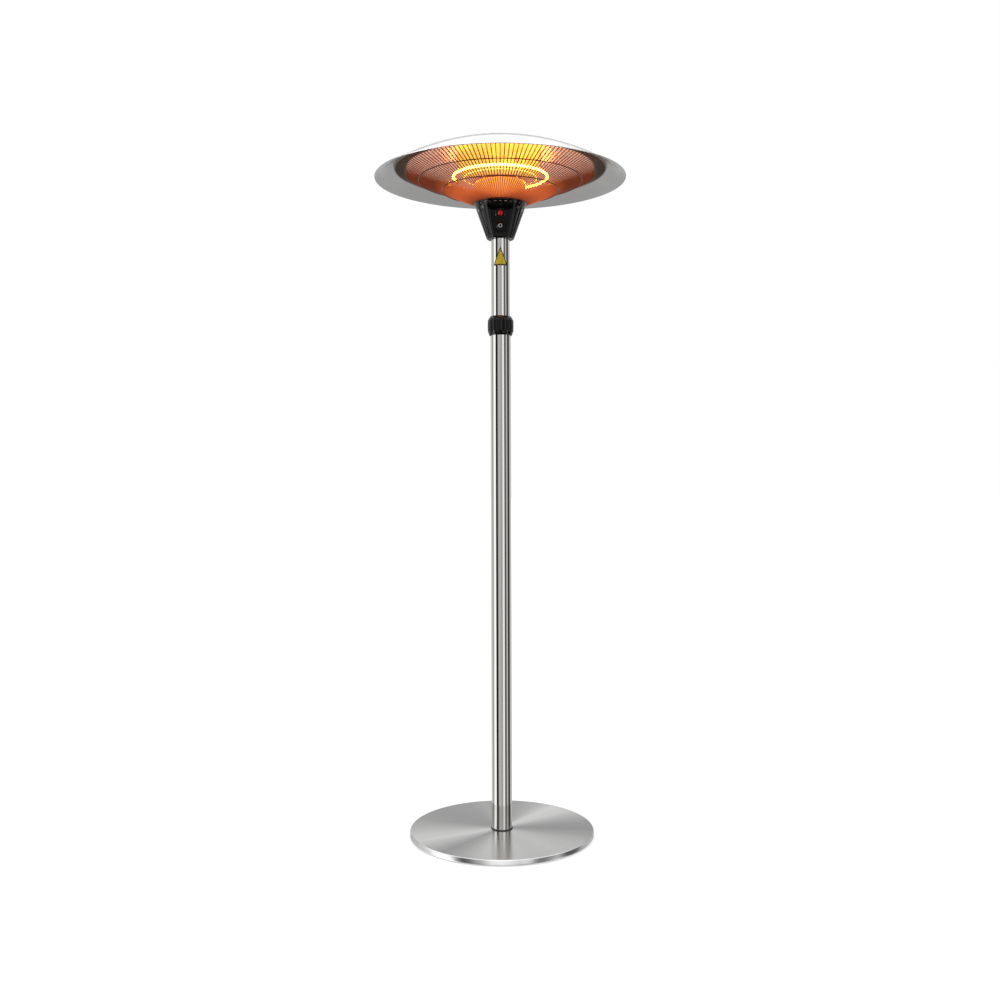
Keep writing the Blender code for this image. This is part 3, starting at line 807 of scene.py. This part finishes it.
housingFront = makeHousingHalf("housingFront", "housing_front", True)
makeHousingHalf("housingRear", "housing_rear", False)
lensPlace = panelPlace(housing["lensHeight"])
buttonPlace = panelPlace(housing["buttonHeight"])
drill(housingFront, lensPlace, housing["lensHole"])
drill(housingFront, buttonPlace, housing["buttonHole"])
ventSlot = bmesh.new()
bmesh.ops.create_cube(ventSlot, size=1.0)
bmesh.ops.scale(ventSlot, vec=(0.0016, 0.0075, 0.0120), verts=ventSlot.verts)
ventTurn = math.radians(-50)
ventPlace = facing(around(ventTurn, 0.0345, 1.4345), around(ventTurn, 1.0, -0.3))
standAt(ventSlot, ventPlace @ Matrix.Rotation(0.55, 4, "Z"))
cutWith(housingFront, ventSlot)
print("housing made")


def turnedPiece(name, outline, place, steps, finish, body, replaced, edge=0.0004, smoothAngle=35):
    mesh = turnedMesh(rounded(outline, edge, 3), steps)
    standAt(mesh, place)
    return finishMesh(name, mesh, finish, body, replaced, smoothAngle)


# the lens, the button and the housing's screws

def makePanel():
    turnedPiece(
        "lensBezel",
        [
            (0.0067, -0.0045),
            (0.0100, -0.0045),
            (0.0100, 0.0001),
            (0.0124, 0.0001),
            (0.0124, 0.0012),
            (0.0108, 0.0024),
            (0.0084, 0.0024),
            (0.0067, 0.0010),
        ],
        lensPlace,
        72,
        plasticFinish,
        "head",
        ["indicator_bezel"],
    )
    turns = [math.radians(degrees) for degrees in range(0, 90, 10)]
    dome = [(0.0062 * math.cos(turn), 0.0010 + 0.0040 * math.sin(turn)) for turn in turns]
    turnedPiece(
        "indicatorLens",
        [(0, -0.0045), (0.0062, -0.0045), *dome, (0, 0.0050)],
        lensPlace,
        56,
        lensFinish,
        "head",
        ["indicator_lens"],
        0.0001,
    )
    turnedPiece(
        "buttonBezel",
        [
            (0.0055, -0.0045),
            (0.0085, -0.0045),
            (0.0085, 0.0001),
            (0.0106, 0.0001),
            (0.0106, 0.0010),
            (0.0096, 0.0018),
            (0.0072, 0.0010),
            (0.0055, -0.0004),
        ],
        buttonPlace,
        72,
        plasticFinish,
        "head",
        ["button_bezel"],
    )
    turnedPiece(
        "powerButton",
        [
            (0, -0.0055),
            (0.0052, -0.0055),
            (0.0052, 0.0026),
            (0.0043, 0.0036),
            (0.0026, 0.0036),
            (0.0021, 0.0020),
            (0, 0.0020),
        ],
        buttonPlace,
        56,
        buttonFinish,
        "button",
        ["power_button"],
    )
    turnedPiece(
        "buttonCentre",
        [(0, 0.0021), (0.0020, 0.0021), (0.0017, 0.0027), (0, 0.0029)],
        buttonPlace,
        32,
        plasticFinish,
        "button",
        [],
        0.0001,
    )


screw = {"radius": 0.0034, "height": 0.0020, "shank": 0.0070}


def makeScrew(name, place, sizes, finish, body, replaced):
    # a pan head with a cross recess
    radius, height, shank = sizes["radius"], sizes["height"], sizes["shank"]
    outline = [(0, -shank), (radius * 0.52, -shank), (radius * 0.52, 0), (radius, 0)]
    outline += [(radius, height * 0.45), (radius * 0.72, height * 0.9), (0, height)]
    mesh = turnedMesh(rounded(outline, radius * 0.12, 3), 32)
    piece = finishMesh(name, mesh, finish, body, replaced)
    for turn in (0.4, 0.4 + math.pi / 2):
        bar = bmesh.new()
        bmesh.ops.create_cube(bar, size=1.0)
        bmesh.ops.scale(bar, vec=(radius * 1.15, radius * 0.28, height * 1.1), verts=bar.verts)
        standAt(bar, Matrix.Translation((0, 0, height)) @ Matrix.Rotation(turn, 4, "Z"))
        cutWith(piece, bar)
    piece.data.transform(place)
    return piece


def makeHousingScrews():
    tilt = Vector((0, 0, -math.sin(slope)))
    height = housing["screwHeight"]
    for index, degrees in enumerate((-66, 66, 114, -114), 1):
        turn = math.radians(degrees)
        out = around(turn, math.cos(slope)) + tilt
        place = facing(around(turn, housingRadius(height) + 0.0002, height), out)
        node = f"housing_screw_{index}"
        makeScrew(f"housingScrew{index}", place, screw, buttonFinish, "head", [node])


makePanel()
makeHousingScrews()
print("control panel made")


# the plate, the column and the hooks under the guard

headFrame = {"steps": 144, "hooks": 30, "hook": (0.0046, 0.0010, 0.0010)}


def makeHeadPlates():
    low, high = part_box("head_plate")
    steps = headFrame["steps"]
    outline = [(0.0100, low.z), (high.x, low.z), (high.x, high.z), (0.0100, high.z)]
    mesh = turnedMesh(rounded(outline, 0.0005, 3), steps)
    finishMesh("headPlate", mesh, plasticFinish, "head", ["head_plate"])
    low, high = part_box("guard_clamp_ring")
    top = high.z + 0.0026
    outline = [(0.0560, low.z), (0.0608, low.z), (0.0622, top), (0.0560, top)]
    mesh = turnedMesh(rounded(outline, 0.0006, 3), steps)
    finishMesh("guardClampRing", mesh, plasticFinish, "head", ["guard_clamp_ring"])


def makeHooks():
    # small bright tongues that hold the guard down on the plate
    mesh = bmesh.new()
    bmesh.ops.create_cube(mesh, size=1.0)
    bmesh.ops.scale(mesh, vec=headFrame["hook"], verts=mesh.verts)
    bmesh.ops.bevel(
        mesh, geom=mesh.edges, offset=0.0002, affect="EDGES", segments=1, profile=0.5, material=-1
    )
    bmesh.ops.translate(mesh, vec=(0, -0.0607, housingHigh + 0.0004), verts=mesh.verts)
    first = [*mesh.verts, *mesh.edges, *mesh.faces]
    for i in range(1, headFrame["hooks"]):
        copy = bmesh.ops.duplicate(mesh, geom=first)["geom"]
        verts = [item for item in copy if isinstance(item, bmesh.types.BMVert)]
        turn = Matrix.Rotation(math.tau * i / headFrame["hooks"], 3, "Z")
        bmesh.ops.rotate(mesh, verts=verts, matrix=turn, cent=(0, 0, 0))
    finishMesh("guardHooks", mesh, zincFinish, "head")


def makeColumn():
    low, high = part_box("column")
    sheet = 0.0012
    foot = 0.0545
    outline = [
        (0, high.z),
        (high.x, high.z),
        (high.x - 0.0004, high.z - 0.0060),
        (foot, low.z),
        (foot - sheet, low.z),
        (high.x - sheet - 0.0006, high.z - 0.0060),
        (high.x - sheet - 0.0006, high.z - sheet),
        (0, high.z - sheet),
    ]
    mesh = turnedMesh(rounded(outline, 0.0005, 3), headFrame["steps"])
    finishMesh("column", mesh, columnFinish, "head", ["column"])


makeHeadPlates()
makeHooks()
makeColumn()
print("head frame made")


# the reflector, the lamp and the lit bead

reflector = {
    "petals": 6,
    "press": 0.0045,
    "cupRadius": 0.0860,
    "glowRadius": 0.2241,
    "sheet": 0.0010,
}
reflectorFinish = reflectorAluminium(reflector["glowRadius"])


def makeReflector():
    low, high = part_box("reflector")
    sheet = reflector["sheet"]
    under = [
        (high.x, low.z),
        (0.2380, low.z + 0.0002),
        (reflector["glowRadius"], low.z + 0.0004),
        (0.2185, low.z + 0.0030),
        (0.2050, low.z + 0.0068),
        (0.1900, low.z + 0.0100),
        (0.1700, low.z + 0.0138),
        (0.1500, low.z + 0.0172),
        (0.1200, low.z + 0.0212),
        (0.0900, low.z + 0.0238),
        (0.0600, low.z + 0.0252),
        (0.0300, low.z + 0.0254),
        (0, low.z + 0.0254),
    ]
    over = [(radius, height + sheet) for radius, height in reversed(under)]
    mesh = turnedMesh(under + over, 180)
    step = math.tau / reflector["petals"]
    for vert in mesh.verts:
        reach = math.hypot(vert.co.x, vert.co.y)
        if 0.02 < reach < reflector["glowRadius"] - 0.001:
            turn = math.atan2(vert.co.x, -vert.co.y) + step / 2
            away = abs((turn % step) - step / 2) / (step / 2)
            fade = min(1.0, (reflector["glowRadius"] - reach) / 0.03, (reach - 0.02) / 0.05)
            vert.co.z -= reflector["press"] * away**2 * fade
    return finishMesh(
        "reflector", mesh, reflectorFinish, "head", ["reflector"], smoothAngle=60
    )


lamp = {"radius": 0.1125, "tube": 0.0029, "start": math.radians(-103), "end": math.radians(190)}
lampHeight = middleOf("lamp_tube").z


def bentTube(thick, start, end, steps, sides, hollow=0.0):
    # a round section carried along the lamp's circle
    mesh = bmesh.new()
    bmesh.ops.create_circle(mesh, cap_ends=hollow == 0, segments=sides, radius=thick)
    if hollow:
        bmesh.ops.create_circle(mesh, cap_ends=False, segments=sides, radius=hollow)
        bmesh.ops.bridge_loops(mesh, edges=mesh.edges)
    standAt(mesh, facing((0, -lamp["radius"], lampHeight), (1, 0, 0)))
    bmesh.ops.rotate(mesh, verts=mesh.verts, matrix=Matrix.Rotation(start, 3, "Z"), cent=(0, 0, 0))
    bmesh.ops.spin(
        mesh,
        geom=[*mesh.faces, *mesh.edges, *mesh.verts],
        axis=(0, 0, 1),
        cent=(0, 0, 0),
        angle=end - start,
        steps=steps,
        use_merge=False,
    )
    return mesh


def makeLamp():
    start, end = lamp["start"], lamp["end"]
    mesh = bentTube(lamp["tube"], start, end, 120, 20, lamp["tube"] - 0.0010)
    finishMesh("lampTube", mesh, lampFinish, "head", ["lamp_tube"])
    mesh = bentTube(0.0009, start + 0.035, end - 0.035, 120, 8)
    finishMesh("filament", mesh, filamentFinish, "head", ["filament"])
    cap = math.radians(10.5)
    for index, (first, last) in enumerate(((start - cap, start - 0.003), (end + 0.003, end + cap)), 1):
        mesh = bentTube(0.0044, first, last, 10, 24)
        node = f"lamp_end_{index}"
        finishMesh(f"lampEnd{index}", mesh, ceramicFinish, "head", [node])


def makeBead():
    # a bead round the cup behind the column, whose glow is a painted highlight of the lamp's light, not a
    # lamp
    height = lampHeight - 0.0028
    thick = 0.0011
    turns = [math.tau * k / 10 for k in range(10)]
    outline = [(thick * math.cos(turn), thick * math.sin(turn)) for turn in turns]
    outline = [(reflector["cupRadius"] + 0.0010 + x, height + z) for x, z in outline]
    mesh = turnedMesh(outline, 144)
    finishMesh("cupBead", mesh, haloFinish, "head")


makeReflector()
makeLamp()
makeBead()
print("reflector and lamp made")


# the guard: radial wires and hoops

guard = {
    "wires": guardWires,
    "wire": 0.00128,
    "ring": 0.0012,
    "rim": 0.0018,
    "footRadius": 0.0612,
    "rimRadius": 0.2515,
    "rings": (0.1400, 0.1954),
}
guardLow = middleOf("guard_clamp_ring").z + 0.0040
guardHigh = 1.5900


def guardHeight(radius):
    share = (radius - guard["footRadius"]) / (guard["rimRadius"] - guard["footRadius"])
    return guardLow + share * (guardHigh - guardLow)


def addHoop(mesh, radius, height, thick, sides=8, steps=144):
    hoop = bmesh.new()
    bmesh.ops.create_circle(hoop, cap_ends=False, segments=sides, radius=thick)
    standAt(hoop, facing((0, -radius, height), (1, 0, 0)))
    geom = [*hoop.edges, *hoop.verts]
    bmesh.ops.spin(
        hoop, geom=geom, axis=(0, 0, 1), cent=(0, 0, 0), angle=math.tau, steps=steps, use_merge=True
    )
    data = bpy.data.meshes.new("hoop")
    hoop.to_mesh(data)
    hoop.free()
    mesh.from_mesh(data)
    bpy.data.meshes.remove(data)


def makeGuard():
    mesh = bmesh.new()
    path = [(0.0612, 0.0), (0.1100, 0.0), (0.1700, 0.0), (0.2280, -0.0006), (0.2440, -0.0010), (0.2515, 0.0)]
    along = Vector((0, -math.cos(0.3), math.sin(0.3)))
    start = bmesh.ops.create_circle(mesh, cap_ends=True, segments=6, radius=guard["wire"])["verts"]
    first = path[0]
    standAt(mesh, facing((0, -first[0], guardHeight(first[0]) + first[1]), along))
    loop = [edge for edge in mesh.edges]
    last = Vector((0, -first[0], guardHeight(first[0]) + first[1]))
    for radius, lift in path[1:]:
        target = Vector((0, -radius, guardHeight(radius) + lift))
        made = bmesh.ops.extrude_edge_only(mesh, edges=loop)["geom"]
        verts = [item for item in made if isinstance(item, bmesh.types.BMVert)]
        edges = [item for item in made if isinstance(item, bmesh.types.BMEdge)]
        loop = [edge for edge in edges if all(vert in verts for vert in edge.verts)]
        bmesh.ops.translate(mesh, verts=verts, vec=target - last)
        last = target
    bmesh.ops.holes_fill(mesh, edges=loop, sides=6)
    wireGeometry = [*mesh.verts, *mesh.edges, *mesh.faces]
    for i in range(1, guard["wires"]):
        copy = bmesh.ops.duplicate(mesh, geom=wireGeometry)["geom"]
        verts = [item for item in copy if isinstance(item, bmesh.types.BMVert)]
        turn = Matrix.Rotation(math.tau * i / guard["wires"], 3, "Z")
        bmesh.ops.rotate(mesh, verts=verts, matrix=turn, cent=(0, 0, 0))
    finishMesh("guard", mesh, wireFinish, "head", ["guard"])
    mesh = bmesh.new()
    addHoop(mesh, guard["rimRadius"], guardHigh, guard["rim"], 12, 192)
    for radius in guard["rings"]:
        addHoop(mesh, radius, guardHeight(radius) - guard["wire"] - guard["ring"] * 0.6, guard["ring"])
    addHoop(mesh, guard["footRadius"] + 0.0016, guardHeight(guard["footRadius"] + 0.0016), 0.0016)
    return finishMesh("guardHoops", mesh, hoopFinish, "head")


makeGuard()
print("guard made")


# the hood and its cap nuts

hood = {"sheet": 0.0012, "lip": 0.2870, "lipRise": 0.0044, "bead": 0.0012, "steps": 224}


def makeHood():
    # a deep dome with a narrow, flatter lip and a rolled edge
    low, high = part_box("hood")
    sheet, lip = hood["sheet"], hood["lip"]
    crown, edge = high.z - sheet, low.z + hood["lipRise"]
    rise = crown - edge
    ball = (lip**2 + rise**2) / (2 * rise)
    stations = [lip * i / 26 for i in range(26)] + [lip - 0.004, lip - 0.0015]
    under = [(radius, crown - ball + math.sqrt(ball**2 - radius**2)) for radius in stations]
    under += [
        (lip, edge + 0.0003),
        (lip + 0.0015, edge - 0.0002),
        (high.x - 0.0032, low.z + 0.0007),
    ]
    over = [(radius, height + sheet) for radius, height in under]
    bead = hood["bead"]
    roll = []
    for k in range(9):
        turn = math.radians(110 - 220 * k / 8)
        roll.append((high.x - bead + bead * math.cos(turn), low.z + bead + bead * math.sin(turn)))
    mesh = turnedMesh(over + roll + under[::-1], hood["steps"])
    return finishMesh("hood", mesh, hoodFinish, "head", ["hood"])


def makeCapNut(index):
    node = f"cap_nut_{index}"
    low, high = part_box(node)
    middle = (low + high) / 2
    radius = (high.x - low.x) / 2
    mesh = bmesh.new()
    hexHeight = (high.z - low.z) * 0.5
    bmesh.ops.create_cone(mesh, cap_ends=True, segments=6, radius1=radius, radius2=radius, depth=hexHeight)
    bmesh.ops.bevel(
        mesh, geom=mesh.edges, offset=0.0005, affect="EDGES", segments=2, profile=0.5, material=-1
    )
    standAt(mesh, Matrix.Translation((middle.x, middle.y, low.z + hexHeight / 2)))
    dome = bmesh.new()
    bmesh.ops.create_uvsphere(dome, u_segments=32, v_segments=16, radius=radius * 0.8)
    bmesh.ops.scale(dome, vec=(1, 1, (high.z - low.z - hexHeight) / (radius * 0.8)), verts=dome.verts)
    standAt(dome, Matrix.Translation((middle.x, middle.y, low.z + hexHeight - 0.0001)))
    data = bpy.data.meshes.new("dome")
    dome.to_mesh(data)
    dome.free()
    mesh.from_mesh(data)
    bpy.data.meshes.remove(data)
    return finishMesh(f"capNut{index}", mesh, zincFinish, "head", [node])


makeHood()
for index in range(1, 4):
    makeCapNut(index)
print("hood made")


# the heat label

label = {"halfTurn": math.radians(45), "field": 0.80}


def makeLabelPiece(name, finish, shrink, lift, thick, replaced):
    low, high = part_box("heat_label")[0].z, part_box("heat_label")[1].z
    height = high - low
    middle = low + height * 0.36
    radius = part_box("upper_tube")[1].x + lift
    half = label["halfTurn"] * (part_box("upper_tube")[1].x + 0.0003)
    mesh = bmesh.new()
    corners = [(-half, low), (half, low), (0, high)]
    corners = rounded([(x * shrink, middle + (z - middle) * shrink) for x, z in corners], 0.003 * shrink, 4)
    mesh.faces.new([mesh.verts.new((x, 0, z)) for x, z in corners])
    for i in range(1, 24):
        x = -half + 2 * half * i / 24
        bmesh.ops.bisect_plane(
            mesh, geom=[*mesh.verts, *mesh.edges, *mesh.faces], plane_co=(x, 0, 0), plane_no=(1, 0, 0)
        )
    made = bmesh.ops.extrude_face_region(mesh, geom=list(mesh.faces))["geom"]
    front = [item for item in made if isinstance(item, bmesh.types.BMVert)]
    bmesh.ops.translate(mesh, verts=front, vec=(0, -thick, 0))
    for vert in mesh.verts:
        turn = vert.co.x / radius
        vert.co = around(turn, radius - vert.co.y, vert.co.z)
    return finishMesh(name, mesh, finish, "head", replaced)


makeLabelPiece("labelBorder", blackInkFinish, 1.0, 0.0003, 0.00015, ["heat_label"])
makeLabelPiece("labelField", yellowFinish, label["field"], 0.0004, 0.0002, [])
print("label made")


# finishes of the pieces kept from the CAD

kept = {
    ironFinish: ["base_ballast"],
    zincFinish: ["mast_foot", "clamp_washer", "mast_socket", "socket_screw", "heat_shield"]
    + [f"base_bolt_{i}" for i in (1, 2, 3)]
    + [f"tie_rod_{i}" for i in (1, 2, 3)]
    + [f"lamp_clip_{i}" for i in (1, 2, 3)],
    plasticFinish: ["collar_sleeve", "button_switch"],
    nylonFinish: ["collar_collet", "glide_bush", "terminal_block"],
    rubberFinish: ["tip_switch"],
    boardFinish: ["control_board"],
    relayFinish: ["relay"],
}
for finish, names in kept.items():
    for name in names:
        nodes[name].data.materials.clear()
        nodes[name].data.materials.append(finish)


# the floor, the light and the camera

studio = {"floorRadius": 30.0, "glow": 0.52}
cameraPlace = {
    "distance": 2.632,
    "height": 0.8767,
    "lens": 39.53,
    "shiftX": -0.0010,
    "shiftY": -0.032,
    "roll": 0.156,
}


def makeStage():
    finish = Finish("paleFloor")
    cloud = finish.noise(0.6, 2.0)
    finish.set(
        color=finish.between(cloud, (0.49, 0.49, 0.49), (0.51, 0.51, 0.51)),
        roughness=0.9,
        specular=0.0,
        glow=(1.0, 1.0, 1.0),
        glowStrength=studio["glow"],
    )
    mesh = bmesh.new()
    bmesh.ops.create_circle(mesh, cap_ends=True, segments=128, radius=studio["floorRadius"])
    data = bpy.data.meshes.new("floor")
    mesh.to_mesh(data)
    mesh.free()
    data.shade_smooth()
    data.materials.append(finish.material)
    floor = bpy.data.objects.new("floor", data)
    sceneObjects.link(floor)
    floor.visible_glossy = False
    floor.visible_diffuse = False
    floor.visible_transmission = False
    floor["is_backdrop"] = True


def makeWorld():
    # soft panels round the heater, level with it, and a plain room above and below
    room = Finish("studio", isWorld=True)
    x, y, z = room.axis("X"), room.axis("Y"), room.axis("Z")
    turn = x.maths("ARCTAN2", x, y * -1.0)
    share = turn / math.tau + 0.5
    bands = [
        (-180, 0.75), (-120, 0.78), (-114, 0.42), (-99, 0.42), (-93, 1.10), (-80, 1.40), (-64, 1.45),
        (-58, 0.04), (-55, 0.0), (-41, 0.0), (-30, 0.60), (-18, 0.63), (-8, 0.60), (0, 0.50),
        (10, 0.40), (14, 0.60), (18, 1.10), (36, 1.22), (40, 0.11), (50, 0.08), (60, 0.35), (66, 0.72),
        (76, 0.70), (80, 0.02), (93, 0.01), (98, 0.08), (107, 0.12), (114, 0.70), (150, 0.72), (180, 0.75),
    ]
    panels = room.greyRamp(share, bands)
    height = abs(z)
    sky = room.between(room.step(z, -0.5, 0.5), (0.42, 0.42, 0.42), (1.5, 1.5, 1.5))
    light = room.between(room.step(height, 0.38, 0.55), panels, sky)
    away = abs(turn)
    places = [
        (room.step(away, 2.55, 2.75) * room.window(z, -0.48, -0.10, 0.04), 0.44),  # behind, low
        (room.step(away, 2.35, 2.55) * room.window(z, 0.385, 0.50, 0.012), 0.03),  # behind, above eye level
        (room.step(away, 1.05, 0.75) * room.step(z, -0.34, -0.40), 0.03),  # in front, low
        (room.window(turn, -1.62, -1.08, 0.06) * room.window(z, -0.58, -0.38, 0.03), 7.0),  # low on the left
        (room.window(turn, 1.15, 1.55, 0.06) * room.window(z, -0.58, -0.38, 0.03), 3.5),  # low on the right
    ]
    for place, level in places:
        light = room.between(place, light, (level, level, level))
    seen = room.node("ShaderNodeLightPath", out="Is Camera Ray")
    light = room.between(seen, light, (1.0, 1.0, 1.0))
    room.feed(room.shader.inputs["Color"], light)
    bpy.context.scene.world = room.material


def makeCamera():
    data = bpy.data.cameras.new("camera")
    data.lens = cameraPlace["lens"]
    data.sensor_width = 36
    data.shift_x = cameraPlace["shiftX"]
    data.shift_y = cameraPlace["shiftY"]
    data.clip_end = 50
    camera = bpy.data.objects.new("camera", data)
    camera.location = (0, -cameraPlace["distance"], cameraPlace["height"])
    camera.rotation_euler = (math.radians(90), math.radians(cameraPlace["roll"]), 0)
    sceneObjects.link(camera)
    bpy.context.scene.camera = camera


makeStage()
makeWorld()
makeCamera()
bpy.context.scene.view_settings.view_transform = "Standard"
print("stage, light and camera made")

sizes = {"cad": cadBox, "visual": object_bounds()}
sizes = {name: [list(map(float, corner)) for corner in box] for name, box in sizes.items()}
